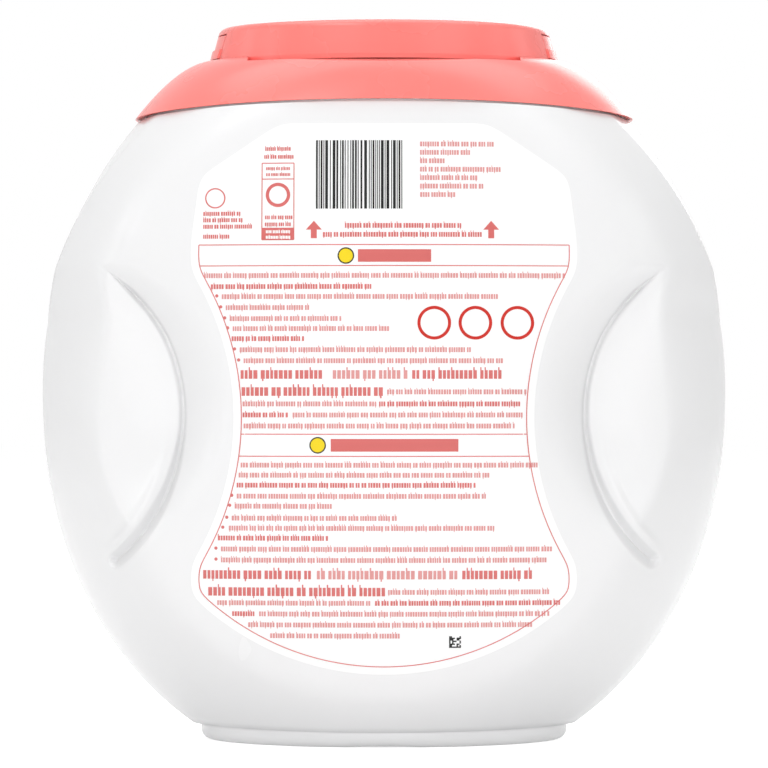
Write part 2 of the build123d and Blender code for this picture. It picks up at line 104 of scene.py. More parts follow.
def half_width(z):
    """Half the tub's width at a height."""
    upper = np.clip(1 - (np.clip(z - WIDEST, 0, None) / UPPER_RISE) ** UPPER_POWER, 0, 1)
    lower = np.clip(1 - (np.clip(WIDEST - z, 0, None) / LOWER_DROP) ** LOWER_POWER, 0, 1)
    return TUB_HALF * np.where(z >= WIDEST, upper ** (1 / UPPER_POWER), lower ** (1 / LOWER_POWER))


def panel(x, z):
    """Half the depth at the shallow panel of each face."""
    return PANEL_DEPTH - x * x / PANEL_BEND_X - (z - PANEL_MIDDLE) ** 2 / PANEL_BEND_Z


def flank(x, z):
    """Half the depth at the flanks, which round off towards the outline."""
    spread = FLANK_SPREAD * ease((z - SPREAD_FOOT) / SPREAD_RISE)
    across = np.abs(x) / (TUB_HALF + spread)
    above = z >= WIDEST
    rise = np.where(above, (z - WIDEST) / (UPPER_RISE + spread), (WIDEST - z) / LOWER_DROP)
    power = np.where(above, UPPER_POWER, LOWER_POWER)
    reach = (across**power + np.abs(rise) ** power) ** (1 / power)
    sideways = across / np.maximum(reach, 1e-9)
    depth = FLANK_DEPTH - FLANK_SIDE_LOSS * sideways**FLANK_SIDE_POWER
    return depth * np.clip(1 - np.clip(reach, 0, 1) ** FLANK_POWER, 0, 1) ** (1 / FLANK_POWER)


def strip(x, z):
    """Half the depth at the narrow side strip, which widens towards the collar."""
    width = np.maximum(STRIP_WIDTH * (z - STRIP_FOOT) / STRIP_RISE, STRIP_LEAST)
    beside = np.clip(half_width(z) - np.abs(x), 0, None)
    return STRIP_DEPTH * (beside / width) ** (1 / STRIP_POWER)


def half_depth(x, z):
    """Half the tub's depth without its scoops."""
    face, side = panel(x, z), flank(x, z)
    depth = soft_min(face, side, PANEL_BLEND)
    low = ease((LINE_TOP - z) / LINE_FADE)
    depth = depth + LINE_RISE * low * np.exp(-((face - side) / LINE_WIDTH) ** 2)
    depth = np.where(z > STRIP_FROM, soft_min(depth, strip(x, z), STRIP_BLEND), depth)
    return np.where(np.abs(x) >= half_width(z), 0, np.maximum(depth, 0))


SCOOP_X, SCOOP_Z, SCOOP_FLOOR, SCOOP_LIP, BANK_WIDTH = 115.6, 102.9, 46.2, 60.5, 8.0
# the crease runs round the scoop at these radii, from the groove's low end to the scoop's top
CREASE_TURNS = np.radians((-53.3, -40, -30, -12, 25, 45, 58))
CREASE_RADII = (56.1, 55.8, 55.1, 54.1, 54.1, 53.4, 53.2)
SLIT_DEPTH, GROOVE_DEPTH = 3.4, 6.6
# the floor deepens towards the tub's middle and rises again below a height
FLOOR_TILT, FLOOR_PIVOT, FLOOR_CURL, CURL_TOP = 0.15, 83, 0.012, 100
LIP_SLOPE, LIP_BLEND, BANK_BLEND = 0.5, 7.0, 0.5
EDGE_BLEND, EDGE_BLEND_MORE, EDGE_REACH = 0.8, 1.6, 6
# the groove takes over from the slit below this turn, and the slit fades out at the top
GROOVE_TURN, GROOVE_SPAN, SLIT_FADE = np.radians((5, 50, 16))
SLIT_SLOPE, GROOVE_MORE, GROOVE_LIP = 0.38, 0.06, 0.5
RIDGE_RISE, RIDGE_OFFSET, RIDGE_WIDTH = 1.3, 4.4, 1.5
RIDGE_LEAD, RIDGE_SPAN = np.radians((2, 9))


def scoop_depth(x, z):
    """Half the depth that the scoops leave, with a floor, a bank and a lip, and its blend."""
    out = np.abs(x)
    turn = np.arctan2(z - SCOOP_Z, SCOOP_X - out)
    beyond = np.hypot(SCOOP_X - out, z - SCOOP_Z) - np.interp(turn, CREASE_TURNS, CREASE_RADII)
    curl = FLOOR_CURL * np.clip(CURL_TOP - z, 0, None) ** 2
    floor = SCOOP_FLOOR - FLOOR_TILT * (FLOOR_PIVOT - out) + curl
    bank = floor + beyond * (SCOOP_LIP - SCOOP_FLOOR) / BANK_WIDTH
    lip = SCOOP_LIP + (beyond - BANK_WIDTH) * LIP_SLOPE
    depth = soft_min(soft_max(floor, bank, BANK_BLEND), lip, LIP_BLEND)
    return depth, EDGE_BLEND + EDGE_BLEND_MORE * ease(beyond / EDGE_REACH)


def groove_press(x, z, wider):
    """How far the slit and the groove go into the skin, less the soft ridge beside the groove.

    On the tub's inside they are wider, and there is no ridge.
    """
    u, w = SCOOP_X - np.abs(x), z - SCOOP_Z
    turn = np.clip(np.arctan2(w, u), CREASE_TURNS[0], CREASE_TURNS[-1])
    radius = np.interp(turn, CREASE_TURNS, CREASE_RADII)
    off = np.hypot(u - radius * np.cos(turn), w - radius * np.sin(turn))
    inner = np.hypot(u, w) > radius
    low = ease((GROOVE_TURN - turn) / GROOVE_SPAN)
    fade = ease((CREASE_TURNS[-1] - turn) / SLIT_FADE)
    depth = SLIT_DEPTH * fade * (1 - low) + GROOVE_DEPTH * low
    wall = np.clip(off - wider, 0, None) / (SLIT_SLOPE + GROOVE_MORE * low)
    press = soft_max(0, depth - GROOVE_LIP - wall, GROOVE_LIP)
    if wider:
        return press
    low = low * ease((np.arctan2(w, u) - CREASE_TURNS[0] + RIDGE_LEAD) / RIDGE_SPAN)
    aside = np.where(inner, off, -off) + RIDGE_OFFSET
    return press - RIDGE_RISE * low * np.exp(-((aside / RIDGE_WIDTH) ** 2))


HALVINGS = 30


def skin_radius(angle, z):
    """Distance from the tub's centre line to its skin, before the scoops."""
    shape = np.broadcast(angle, z).shape
    low, high = np.zeros(shape), np.full(shape, 2 * TUB_HALF)
    for _ in range(HALVINGS):
        middle = (low + high) / 2
        inside = middle * np.abs(np.cos(angle)) < half_depth(middle * np.sin(angle), z + 0 * middle)
        low, high = np.where(inside, middle, low), np.where(inside, high, middle)
    return low


def skin_ring(angle, z, inset=0.0, wider=0.0):
    """One section of the tub's skin, with the scoops pressed into its two faces."""
    radius = skin_radius(angle, z) - inset
    x, y = radius * np.sin(angle), radius * np.cos(angle)
    cut, blend = scoop_depth(x, z)
    depth = soft_min(np.abs(y), cut - inset, blend) - groove_press(x, z, wider)
    return np.stack([x, np.sign(y) * depth, z + 0 * x], axis=1)


def saddle(x):
    """Height of the collar's lower edge."""
    radius = (SKIRT_HALF_X**2 + SKIRT_RISE**2) / (2 * SKIRT_RISE)
    return SKIRT_EDGE + SKIRT_RISE - radius + np.sqrt(radius**2 - x * x)


def mesh_object(name, verts, faces, smooth=True):
    """A linked object from points in mm."""
    mesh = bpy.data.meshes.new(name)
    mesh.from_pydata([tuple(v) for v in np.asarray(verts) * MM], [], [tuple(f) for f in faces])
    mesh.update()
    if smooth:
        mesh.polygons.foreach_set("use_smooth", [True] * len(mesh.polygons))
    obj = bpy.data.objects.new(name, mesh)
    bpy.context.scene.collection.objects.link(obj)
    return obj


def rings_to_faces(ring_count, per_ring, flip=False):
    """Quads between closed rings of points that follow one another."""
    faces = []
    for i in range(ring_count - 1):
        for j in range(per_ring):
            k = (j + 1) % per_ring
            a, b = i * per_ring + j, i * per_ring + k
            c, d = b + per_ring, a + per_ring
            faces.append((a, d, c, b) if flip else (a, b, c, d))
    return faces


def full_turn(quarter):
    """A full turn of angles from those of a quarter, from the face's middle to the side."""
    q = list(quarter)
    half = q + [math.pi - a for a in reversed(q[:-1])]
    return np.array(half + [math.pi + a for a in half[1:-1]])


# the finest columns follow the groove, then the strip's crisp edge
FINE_HALF = math.radians(6.5)
COLUMN_SHARES = (0, 0.27, 0.74, 1)
SCOOP_LOW, SCOOP_HIGH = 57, 149
EDGE_TURN, EDGE_TURN_LOSS, EDGE_FROM, EDGE_RISE, EDGE_CHANGE = 79, 12, 150, 45, 14
LEAST_DEPTH = 20
SMOOTHED = 8


def fine_table():
    """The angle that the finest columns follow, at heights half a millimetre apart."""
    heights = np.arange(0, 212, 0.5)
    turns = np.linspace(CREASE_TURNS[0], CREASE_TURNS[-1], 200)
    radii = np.interp(turns, CREASE_TURNS, CREASE_RADII)
    x = np.interp(heights, SCOOP_Z + radii * np.sin(turns), SCOOP_X - radii * np.cos(turns))
    held = np.clip(heights, SCOOP_LOW, SCOOP_HIGH)
    angle = np.arctan2(x, np.maximum(half_depth(x, held), LEAST_DEPTH))
    edge = np.radians(EDGE_TURN - EDGE_TURN_LOSS * ease((heights - EDGE_FROM) / EDGE_RISE))
    share = ease((heights - SCOOP_HIGH) / EDGE_CHANGE)
    angle = angle * (1 - share) + edge * share
    padded = np.pad(angle, SMOOTHED, mode="edge")
    number = 2 * SMOOTHED + 1
    return heights, np.convolve(padded, np.ones(number) / number, mode="valid")


FINE_HEIGHTS, FINE_ANGLES = fine_table()


def ring_angles(z, columns):
    """Angles round a ring, closest together beside the groove, the bank and the strip's edge."""
    centre = float(np.interp(z, FINE_HEIGHTS, FINE_ANGLES))
    knots = (0, centre - FINE_HALF, centre + FINE_HALF, math.pi / 2)
    return full_turn(np.interp(np.linspace(0, 1, columns + 1), COLUMN_SHARES, knots))


def oval_radius(angle, half_x, half_y):
    """Distance from the middle of an ellipse to its edge."""
    return 1 / np.sqrt((np.sin(angle) / half_x) ** 2 + (np.cos(angle) / half_y) ** 2)


def superoval(angle, half_x, half_y, power):
    """Distance from the middle of a squarish oval to its edge."""
    s, c = np.abs(np.sin(angle)) / half_x, np.abs(np.cos(angle)) / half_y
    return (s**power + c**power) ** (-1 / power)


def ring(angle, radius, z):
    """A level ring of points."""
    return np.stack([radius * np.sin(angle), radius * np.cos(angle), z + 0 * radius], axis=1)


SKIRT_HEIGHT, SKIRT_POWER = 18.05, 0.62
SKIRT_TOP_X, SKIRT_SPREAD_X = 56.4, 22.1
SKIRT_TOP_Y, SKIRT_SPREAD_Y = 45.6, 13.1
SQUARE_TOP, SQUARE_SPREAD = 2.0, 0.4


def skirt_size(z, inset):
    """Half width, half depth and squareness of the collar's outside."""
    spread = np.clip(1 - (z - SKIRT_EDGE) / SKIRT_HEIGHT, 0, None) ** SKIRT_POWER
    half_x = SKIRT_TOP_X + SKIRT_SPREAD_X * spread - inset
    half_y = SKIRT_TOP_Y + SKIRT_SPREAD_Y * spread - inset
    return half_x, half_y, SQUARE_TOP + SQUARE_SPREAD * spread


# the tub's outside: foot and skin as one stack of rings
COLUMNS = 128
ARCH_RISE, ARCH_HALF = 0.35, 12
angles = ring_angles(FOOT_TOP, COLUMNS)
count = len(angles)
foot_out = oval_radius(angles, FOOT_HALF_X, FOOT_HALF_Y)
foot_in = oval_radius(angles, FOOT_HALF_X - FOOT_RIM, FOOT_HALF_Y - FOOT_RIM)


def arch(radius):
    """How far the foot's standing ring is lifted at its front and back."""
    across = np.abs(radius * np.sin(angles))
    bend = (ARCH_HALF**2 + ARCH_RISE**2) / (2 * ARCH_RISE)
    rise = ARCH_RISE - bend + np.sqrt(bend**2 - np.clip(across, 0, ARCH_HALF) ** 2)
    return np.where(across < ARCH_HALF, rise, 0)


rings = [ring(angles, foot_in * 0.02, FOOT_TOP), ring(angles, foot_in * 0.6, FOOT_TOP),
         ring(angles, foot_in - 0.6, FOOT_TOP), ring(angles, foot_in, 4.4),
         ring(angles, foot_in, 0.6), ring(angles, foot_in + 0.5, arch(foot_in)),
         ring(angles, foot_out - FOOT_ROUND - 0.3, arch(foot_out))]
ROUND_STEPS = 5
for step in range(1, ROUND_STEPS + 1):
    turn = math.pi / 2 * step / ROUND_STEPS
    inset = FOOT_ROUND * (1 - math.sin(turn))
    lift = FOOT_ROUND * (1 - math.cos(turn))
    rings.append(ring(angles, foot_out - inset, lift + arch(foot_out) * (1 - step / ROUND_STEPS)))
rings += [ring(angles, foot_out, 4.2), ring(angles, foot_out - 0.25, 4.9)]


def rows(*spans):
    """Heights from the foot's top up, each span given by its end and its number of rows."""
    heights = [FOOT_TOP]
    for end, number in spans:
        start = heights[-1]
        heights += [start + (end - start) * (i + 1) / number for i in range(number)]
    return heights


BEND_FROM = 180


def top_ring(columns, z):
    """A ring whose height bends to the collar's edge near the top."""
    angle = ring_angles(z, columns)
    height = np.full(len(angle), float(z))
    if z > BEND_FROM:
        for _ in range(3):
            radius = skin_radius(angle, height)
            top = saddle(radius * np.sin(angle)) - COLLAR_GAP
            height = BEND_FROM + (z - BEND_FROM) / (SKIRT_EDGE - BEND_FROM) * (top - BEND_FROM)
    return skin_ring(angle, height)


for z in rows((40, 19), (53, 12), (66, 30), (112, 48), (150, 36), (166, 12), (195, 20)):
    rings.append(top_ring(COLUMNS, z))
tub = mesh_object("tub_outside", np.concatenate(rings), rings_to_faces(len(rings), count))

# the shoulder deck and the neck, which the closure hides while the lid is shut
DECK_HEIGHT = 204.5
NECK_HALF_X, NECK_HALF_Y, NECK_TOP, BEAD = 47, 36, 209.2, 0.7
neck_angles = full_turn(np.linspace(0, math.pi / 2, 33))
neck_rings = []
for z in (194.0, 197.0, 199.0, 202.0, 203.6, DECK_HEIGHT):
    half_x, half_y, power = skirt_size(z, 2.7 + (0.8 if z > 204 else 0) + (1.0 if z < 195 else 0))
    neck_rings.append(ring(neck_angles, superoval(neck_angles, half_x, half_y, power), z))
for grow, z in ((0, DECK_HEIGHT), (0, 206.0), (BEAD, 206.5), (BEAD, 207.4), (0, 207.9),
                (0, NECK_TOP), (-WALL, NECK_TOP)):
    radius = oval_radius(neck_angles, NECK_HALF_X + grow, NECK_HALF_Y + grow)
    neck_rings.append(ring(neck_angles, radius, z))
neck = mesh_object("tub_neck", np.concatenate(neck_rings),
                   rings_to_faces(len(neck_rings), len(neck_angles)))

# the tub's inside, seen through the mouth
INNER_COLUMNS = 48
INNER_FLOOR, INNER_TOP = FOOT_TOP + WALL, 193
GROOVE_WIDER = 1.6
inner_count = 4 * INNER_COLUMNS
inner = [ring(ring_angles(INNER_FLOOR, INNER_COLUMNS), np.full(inner_count, 1.0), INNER_FLOOR)]
for z in rows((INNER_FLOOR, 1), (40, 12), (53, 8), (66, 14), (112, 30), (150, 16),
              (INNER_TOP, 12))[1:]:
    angle = ring_angles(z, INNER_COLUMNS)
    inner.append(skin_ring(angle, np.full(inner_count, z), WALL, GROOVE_WIDER))
angle = ring_angles(INNER_TOP, INNER_COLUMNS)
for z in (195.0, 198.0, 201.0, 203.1):
    half_x, half_y, power = skirt_size(z, 4.6)
    inner.append(ring(angle, superoval(angle, half_x, half_y, power), z))
for z in (203.1, NECK_TOP):
    inner.append(ring(angle, oval_radius(angle, NECK_HALF_X - WALL, NECK_HALF_Y - WALL), z))
inside = mesh_object("tub_inside", np.concatenate(inner),
                     rings_to_faces(len(inner), inner_count, flip=True))
for piece in (tub, neck, inside):
    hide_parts("tub")
    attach(piece, BODY)

# ---------------------------------------------------------------- label film and its print
LABEL_LIFT, FILM_FOOT = 0.2, 0.1
PRINT_LIFT = 0.23
LABEL_HALF, LABEL_TOP, TOP_HALF = 58.4, 190.7, 31.5
SHOULDER_HALF, SHOULDER_HEIGHT = 55.8, 174.5
# heights on the label's side, downwards: where it turns upright, the waist's two ends, the low end
SIDE_TOP, WAIST_TOP, WAIST_LOW, SIDE_LOW = 154.5, 146.15, 57.05, 48.05
WAIST_HALF, WAIST_HEIGHT, WAIST_RADIUS = 45.3, 101.6, 82.3
BOTTOM_RADIUS, BOTTOM_CENTRE = 82.7, 106.6
OUTLINE_POINTS, OUTLINE_ROUNDS = 480, 12


def on_panel(points, lift):
    """Points (x, z) of the back, laid on the panel and lifted off it."""
    p = np.asarray(points, float)
    cut, blend = scoop_depth(p[:, 0], p[:, 1])
    depth = soft_min(half_depth(p[:, 0], p[:, 1]), cut, blend) + lift
    return np.stack([p[:, 0], -depth, p[:, 1]], axis=1)


def straight(start, end, number):
    """Points of a straight run, without its first one."""
    return list(zip(*(np.linspace(a, b, number)[1:] for a, b in zip(start, end))))


def label_outline(inset=0.0):
    """The label's outline as a loop of (x, z) points, clockwise from the top's middle."""
    right = [(0, LABEL_TOP)]
    right += straight((0, LABEL_TOP), (TOP_HALF, LABEL_TOP), 20)
    right += straight((TOP_HALF, LABEL_TOP), (SHOULDER_HALF, SHOULDER_HEIGHT), 20)
    right += straight((SHOULDER_HALF, SHOULDER_HEIGHT), (LABEL_HALF, SIDE_TOP), 16)
    right += straight((LABEL_HALF, SIDE_TOP), (LABEL_HALF, WAIST_TOP), 8)
    waist_x = WAIST_HALF + WAIST_RADIUS
    for z in np.linspace(WAIST_TOP, WAIST_LOW, 70)[1:]:
        right.append((waist_x - math.sqrt(WAIST_RADIUS**2 - (z - WAIST_HEIGHT) ** 2), z))
    right += straight((LABEL_HALF, WAIST_LOW), (LABEL_HALF, SIDE_LOW), 8)
    start = math.asin(LABEL_HALF / BOTTOM_RADIUS)
    for turn in np.linspace(start, 0, 50)[1:]:
        right.append((BOTTOM_RADIUS * math.sin(turn),
                      BOTTOM_CENTRE - BOTTOM_RADIUS * math.cos(turn)))
    loop = np.array(right + [(-x, z) for x, z in reversed(right[1:-1])])
    # even spacing, then smoothed so that the corners are round
    closed = np.vstack([loop, loop[:1]])
    length = np.concatenate([[0], np.cumsum(np.hypot(*np.diff(closed, axis=0).T))])
    even = np.linspace(0, length[-1], OUTLINE_POINTS + 1)[:-1]
    loop = np.stack([np.interp(even, length, closed[:, i]) for i in (0, 1)], axis=1)
    for _ in range(OUTLINE_ROUNDS):
        loop = (np.roll(loop, 1, axis=0) + 2 * loop + np.roll(loop, -1, axis=0)) / 4
    if inset:
        tangent = np.roll(loop, -1, axis=0) - np.roll(loop, 1, axis=0)
        tangent /= np.hypot(*tangent.T)[:, None]
        loop = loop + inset * np.stack([tangent[:, 1], -tangent[:, 0]], axis=1)
    return loop


# the film: its outline and a grid of points inside it, joined by triangles, and a fine rim
outline = label_outline()
count = len(outline)
grid = []
FILM_STEP, FILM_MARGIN = 3.0, 1.5
inner_loop = label_outline(FILM_MARGIN)
for x in np.arange(-57, 57.1, FILM_STEP):
    for z in np.arange(26, 190, FILM_STEP):
        a, b = inner_loop, np.roll(inner_loop, -1, axis=0)
        hit = (a[:, 1] > z) != (b[:, 1] > z)
        cut = a[hit, 0] + (z - a[hit, 1]) * (b[hit, 0] - a[hit, 0]) / (b[hit, 1] - a[hit, 1])
        if np.count_nonzero(cut > x) % 2:
            grid.append((x, z))
points = [Vector(p) for p in outline] + [Vector(p) for p in grid]
edges = [(i, (i + 1) % count) for i in range(count)]
flat, _, triangles, *_ = delaunay_2d_cdt(points, edges, [], 1, 1e-6)
flat = np.array([tuple(p) for p in flat])
label = mesh_object("label_film", on_panel(flat, LABEL_LIFT),
                    [tuple(reversed(t)) for t in triangles])
if label.data.polygons[0].normal.y > 0:
    label.data.flip_normals()
rim = np.vstack([on_panel(outline, LABEL_LIFT), on_panel(outline, -FILM_FOOT)])
label_edge = mesh_object("label_edge", rim, [(i, j, j + count, i + count) for i, j in edges])
for piece in (label, label_edge):
    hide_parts("back_label")
    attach(piece, BODY)

# print: every mark is a small flat patch on the film, in mm: (x, z) from the tub's middle line
CORAL, BOLD_INK, PALE_INK, DARK, RED, YELLOW, WHITE = range(7)
print_verts, print_faces, print_inks = [], [], []


def patch(points, ink):
    """A convex patch given by its corners."""
    base = len(print_verts)
    print_verts.extend(on_panel(points, PRINT_LIFT))
    print_faces.append(tuple(range(base, base + len(points))))
    print_inks.append(ink)


def block(x0, x1, z0, z1, ink):
    """An upright rectangle."""
    patch([(x0, z0), (x1, z0), (x1, z1), (x0, z1)], ink)


BAR_STEP = 3.0


def bar(x0, x1, z, height, ink):
    """A level bar, cut into short lengths so that it follows the panel."""
    parts = max(int(math.ceil((x1 - x0) / BAR_STEP)), 1)
    for i in range(parts):
        a, b = x0 + (x1 - x0) * i / parts, x0 + (x1 - x0) * (i + 1) / parts
        block(a, b, z - height / 2, z + height / 2, ink)


def ribbon(points, width, ink, closed=False):
    """A line of even width through points."""
    p = np.asarray(points, float)
    ahead = np.roll(p, -1, axis=0) - np.roll(p, 1, axis=0)
    if not closed:
        ahead[0], ahead[-1] = p[1] - p[0], p[-1] - p[-2]
    ahead /= np.hypot(*ahead.T)[:, None]
    side = np.stack([-ahead[:, 1], ahead[:, 0]], axis=1) * width / 2
    count = len(p) if closed else len(p) - 1
    for i in range(count):
        j = (i + 1) % len(p)
        patch([p[i] - side[i], p[j] - side[j], p[j] + side[j], p[i] + side[i]], ink)


def round_points(x, z, radius, number):
    """Points round a circle."""
    return [(x + radius * math.cos(a), z + radius * math.sin(a))
            for a in np.linspace(0, 2 * math.pi, number + 1)[:-1]]


def disc(x, z, radius, ink):
    """A filled circle."""
    patch(round_points(x, z, radius, 32), ink)


def circle(x, z, radius, width, ink):
    """A circle's line."""
    ribbon(round_points(x, z, radius, 48), width, ink, closed=True)


draw = random.Random(7)
WORD_LENGTHS = (2, 3, 5, 7, 4, 8, 6, 3, 9)
# shares of a row's size: the low blocks' height, a block's least and most width, and the spaces
LOW_SHARE, LEAST_WIDE, MOST_WIDE, LETTER_SPACE, WORD_SPACE = 0.74, 0.24, 0.36, 0.09, 0.2
# draws below the first give a block a tall part, those below the second a tail
TALL_CHANCE, TAIL_CHANCE = 0.2, 0.3
STEM, TAIL_FROM, TAIL_TO, TAIL_DROP = 0.38, 0.3, 0.68, 0.2


def words(x0, x1, z, size, ink):
    """A row of greeked print: low blocks of letter width in words, some with a stem or tail."""
    x, letters = x0, draw.choice(WORD_LENGTHS)
    foot = z - size / 2
    low = foot + LOW_SHARE * size
    while x < x1 - size * WORD_SPACE:
        wide = size * draw.uniform(LEAST_WIDE, MOST_WIDE)
        block(x, x + wide, foot, low, ink)
        kind = draw.random()
        if kind < TALL_CHANCE:
            block(x, x + wide * STEM, low, foot + size, ink)
        elif kind < TAIL_CHANCE:
            block(x + wide * TAIL_FROM, x + wide * TAIL_TO, foot - TAIL_DROP * size, foot, ink)
        x += wide + size * LETTER_SPACE
        letters -= 1
        if letters <= 0:
            x += size * WORD_SPACE
            letters = draw.choice(WORD_LENGTHS)


MM_PER_PIXEL = 0.3019


def px(x, y):
    """A place on the panel, in mm, from one in the camera's frame."""
    middle = FRAME_PIXELS / 2
    return (x - middle) * MM_PER_PIXEL, CAMERA_HEIGHT / MM - (y - middle) * MM_PER_PIXEL


def row(y, x0, x1, size, ink):
    """A row of greeked print, placed in the camera's frame."""
    (a, z), (b, _) = px(x0, y), px(x1, y)
    words(a, b, z, size, ink)


SMALL, BOLD = (1.95, PALE_INK), (1.95, BOLD_INK)
BIG, BIG_THIN = (3.5, BOLD_INK), (3.5, PALE_INK)
# rows as (y, x from, x to)
for y, x0, x1 in ((143, 420, 494), (151.5, 420, 470), (160, 420, 446), (168.5, 420, 503),
                  (177, 420, 480), (185.5, 420, 485), (194, 420, 456)):
    row(y, x0, x1, *SMALL)
for y, x0, x1 in ((148, 265, 292), (156, 264, 294)):
    row(y, x0, x1, 1.5, BOLD_INK)
for y, x0, x1 in ((213, 203, 241), (219.5, 203, 244), (226, 203, 253), (236, 203, 229)):
    row(y, x0, x1, 1.6, BOLD_INK)
for y, x0, x1 in ((225, 345, 461), (234, 323, 483)):
    row(y, x0, x1, *BOLD)
for y, x0, x1, kind in (
        (275, 204, 564, SMALL), (286, 211, 372, BOLD), (296, 222, 497, SMALL),
        (307, 226, 309, SMALL), (318, 230, 343, SMALL), (328, 233, 389, SMALL),
        (338, 232, 306, BOLD), (349, 240, 470, SMALL), (360, 244, 503, SMALL), (373, 241, 328, BIG),
        (373, 333, 408, BIG_THIN), (373, 412, 502, BIG), (390, 242, 280, BIG), (390, 284, 383, BIG),
        (391, 387, 527, SMALL), (403, 243, 376, SMALL), (403, 379, 521, BOLD),
        (414, 243, 290, BOLD), (414, 293, 523, SMALL), (425, 244, 515, SMALL),
        (464, 241, 538, SMALL), (474, 239, 489, SMALL), (484, 237, 476, BOLD),
        (495, 237, 487, SMALL), (505, 235, 332, SMALL), (517, 232, 396, SMALL),
        (527, 229, 495, SMALL), (537, 218, 330, BOLD), (548, 221, 551, SMALL),
        (559, 221, 547, SMALL), (573, 203, 313, BIG), (573, 317, 458, BIG_THIN),
        (573, 462, 534, BIG), (590, 208, 384, BIG), (591, 388, 551, SMALL), (602, 217, 372, SMALL),
        (602, 375, 562, BOLD), (613, 232, 256, BOLD), (613, 259, 549, SMALL),
        (624, 248, 533, SMALL), (635, 270, 400, SMALL)):
    row(y, x0, x1, *kind)
BULLET = 0.5
for y, x in ((296, 217), (307, 221), (318, 225), (328, 228), (349, 235), (360, 239), (495, 232),
             (505, 230), (517, 227), (527, 223), (548, 216), (559, 216)):
    disc(*px(x, y), BULLET, BOLD_INK)
# title bars, with a plain disc beside each
LINE = 0.3
TITLE_HEIGHT, BADGE, BADGE_LINE = 3.8, 2.3, 0.4
for x0, x1, y in ((358, 431, 256), (331, 458, 445)):
    (a, z), (b, _) = px(x0, y), px(x1, y)
    bar(a, b, z, TITLE_HEIGHT, CORAL)
for x, y in ((346, 256), (318, 445)):
    disc(*px(x, y), BADGE, YELLOW)
    circle(*px(x, y), BADGE, BADGE_LINE, DARK)
# plain rings in place of the pictograms and the mark at the left
RING_RADIUS, RING_LINE = 4.6, 0.95
for x in (434, 475, 517):
    circle(*px(x, 323), RING_RADIUS, RING_LINE, RED)
circle(*px(215, 198), 2.9, 0.4, CORAL)
# arrows: a shaft and a head
SHAFT_HALF, SHAFT_LENGTH, HEAD_HALF, HEAD_LENGTH = 0.9, 2.6, 2.4, 2.7
for x in (314, 491):
    cx, cz = px(x, 230)
    block(cx - SHAFT_HALF, cx + SHAFT_HALF, cz - SHAFT_LENGTH, cz, CORAL)
    patch([(cx - HEAD_HALF, cz), (cx + HEAD_HALF, cz), (cx, cz + HEAD_LENGTH)], CORAL)
# barcode of plain bars
x, stop = px(316, 0)[0], px(403, 0)[0]
z_top, z_low = px(0, 140)[1], px(0, 209)[1]
BAR_PARTS = 7
BAR_WIDTHS, BAR_SPACES = (0.28, 0.28, 0.56, 0.84), (0.28, 0.28, 0.56)
while x < stop:
    wide = draw.choice(BAR_WIDTHS)
    for i in range(BAR_PARTS):
        low_z = z_low + (z_top - z_low) * i / BAR_PARTS
        block(x, x + wide, low_z, low_z + (z_top - z_low) / BAR_PARTS, DARK)
    x += wide + draw.choice(BAR_SPACES)
# a plain framed box
(a, top_z), (b, low_z) = px(262, 163), px(294, 240)
for z in (top_z, px(0, 179)[1], low_z):
    bar(a, b, z, LINE, CORAL)
for x in (a, b):
    ribbon([(x, z) for z in np.linspace(low_z, top_z, 9)], LINE, CORAL)
circle(*px(278, 195), 3.2, 1.0, CORAL)
for y in (168, 174):
    row(y, 266, 291, 1.2, BOLD_INK)
for y in (217, 224):
    row(y, 265, 292, 1.5, BOLD_INK)
bar(a, b, px(0, 234)[1], 3.62, CORAL)
for y in (231.5, 237):
    (left, z), (right, _) = px(266, y), px(290, y)
    words(left, right, z, 1.2, WHITE)
# the border line, from the top level line down one side, round the bottom and up the other
BORDER_INSET, BORDER_TOP = 2.4, 245
border = label_outline(BORDER_INSET)
keep = border[border[:, 1] < px(0, BORDER_TOP)[1]]
start = int(np.argmax(np.hypot(*(keep - np.roll(keep, 1, axis=0)).T) > 5))
keep = np.roll(keep, -start, axis=0)
ends = [(keep[i, 0], px(0, BORDER_TOP)[1]) for i in (0, -1)]
ribbon(np.vstack([ends[:1], keep, ends[1:]]), LINE, CORAL)
# the level lines above and below the title bars
for y in (BORDER_TOP, 266, 434, 456):
    z = px(0, y)[1]
    at = border[np.abs(border[:, 1] - z) < 1.5]
    edge = np.abs(at[:, 0]).mean()
    bar(-edge, edge, z, LINE, CORAL)
# small square mark at the bottom
cx, cz = px(455, 642)
CELL, CELLS = 0.45, 8
for i in range(CELLS):
    for j in range(CELLS):
        if i == 0 or j == 0 or draw.random() < 0.5:
            x0, z0 = cx + (i - CELLS / 2) * CELL, cz + (j - CELLS / 2) * CELL
            block(x0, x0 + CELL, z0, z0 + CELL, DARK)

printed = mesh_object("label_print", np.array(print_verts), print_faces, smooth=False)
printed.data.polygons.foreach_set("material_index", print_inks)
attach(printed, BODY)


# ---------------------------------------------------------------- materials
def material(name, color, specular=0.5, coat=0.0):
    """A plain material, with its constants on the shader's own sockets."""
    m = bpy.data.materials.new(name)
    m.use_nodes = True
    shader = m.node_tree.nodes["Principled BSDF"]
    shader.inputs["Base Color"].default_value = (*color, 1)
    shader.inputs["Roughness"].default_value = 0.3
    shader.inputs["Specular IOR Level"].default_value = specular
    shader.inputs["Coat Weight"].default_value = coat
    shader.inputs["Coat Roughness"].default_value = 0.15
    return m


